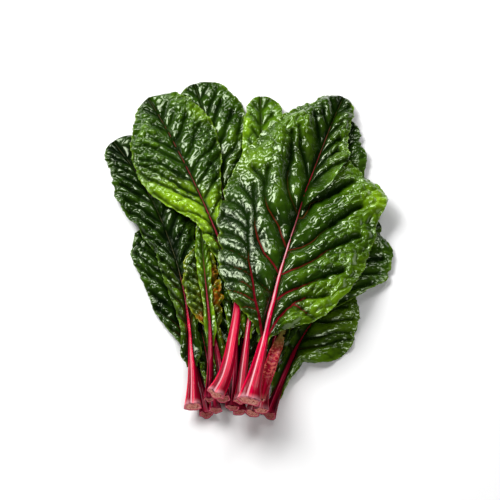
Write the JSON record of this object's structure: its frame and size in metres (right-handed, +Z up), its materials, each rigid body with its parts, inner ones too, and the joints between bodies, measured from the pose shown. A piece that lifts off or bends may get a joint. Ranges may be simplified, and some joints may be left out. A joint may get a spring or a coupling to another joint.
{
  "type": "swiss chard bunch",
  "caption": "Loose bunch of swiss chard lying flat: crinkled dark green blades fanned over each other, with crimson stalks and midribs and their cut ends together.",
  "frame": {"origin": "under the middle of the bounding box, on the surface that the bunch lies on", "axes": "+Y from the cut ends of the stalks to the tips of the leaves, +Z up, +X to the right when seen from above with the tips at the top"},
  "size_m": [0.3062, 0.4038, 0.0614],
  "materials": {
    "low_left_stalk": "waxy sheen",
    "low_left_blade": "glossy, crinkled",
    "low_right_stalk": "waxy sheen",
    "low_right_blade": "glossy, crinkled",
    "right_side_stalk": "waxy sheen",
    "right_side_blade": "glossy, crinkled",
    "back_right_stalk": "waxy sheen",
    "back_right_blade": "glossy, crinkled",
    "hidden_centre_stalk": "waxy sheen",
    "hidden_centre_blade": "glossy, crinkled",
    "inner_left_stalk": "waxy sheen",
    "inner_left_blade": "glossy, crinkled",
    "top_centre_stalk": "waxy sheen",
    "top_centre_blade": "glossy, crinkled",
    "upper_centre_stalk": "waxy sheen",
    "upper_centre_blade": "glossy, crinkled",
    "left_side_stalk": "waxy sheen",
    "left_side_blade": "glossy, crinkled",
    "inner_gold_stalk": "waxy sheen",
    "inner_gold_blade": "glossy, crinkled",
    "inner_edge_stalk": "waxy sheen",
    "inner_edge_blade": "glossy, crinkled",
    "inner_right_stalk": "waxy sheen",
    "inner_right_blade": "glossy, crinkled",
    "upper_left_stalk": "waxy sheen",
    "upper_left_blade": "glossy, crinkled",
    "front_right_stalk": "waxy sheen",
    "front_right_blade": "glossy, crinkled"
  },
  "bodies": {
    "root": {"low_left_stalk": "low_left_stalk", "low_left_blade": "low_left_blade", "low_right_stalk": "low_right_stalk", "low_right_blade": "low_right_blade", "right_side_stalk": "right_side_stalk", "right_side_blade": "right_side_blade", "back_right_stalk": "back_right_stalk", "back_right_blade": "back_right_blade", "hidden_centre_stalk": "hidden_centre_stalk", "hidden_centre_blade": "hidden_centre_blade", "inner_left_stalk": "inner_left_stalk", "inner_left_blade": "inner_left_blade", "top_centre_stalk": "top_centre_stalk", "top_centre_blade": "top_centre_blade", "upper_centre_stalk": "upper_centre_stalk", "upper_centre_blade": "upper_centre_blade", "left_side_stalk": "left_side_stalk", "left_side_blade": "left_side_blade", "inner_gold_stalk": "inner_gold_stalk", "inner_gold_blade": "inner_gold_blade", "inner_edge_stalk": "inner_edge_stalk", "inner_edge_blade": "inner_edge_blade", "inner_right_stalk": "inner_right_stalk", "inner_right_blade": "inner_right_blade", "upper_left_stalk": "upper_left_stalk", "upper_left_blade": "upper_left_blade", "front_right_stalk": "front_right_stalk", "front_right_blade": "front_right_blade"}
  },
  "joints": []
}
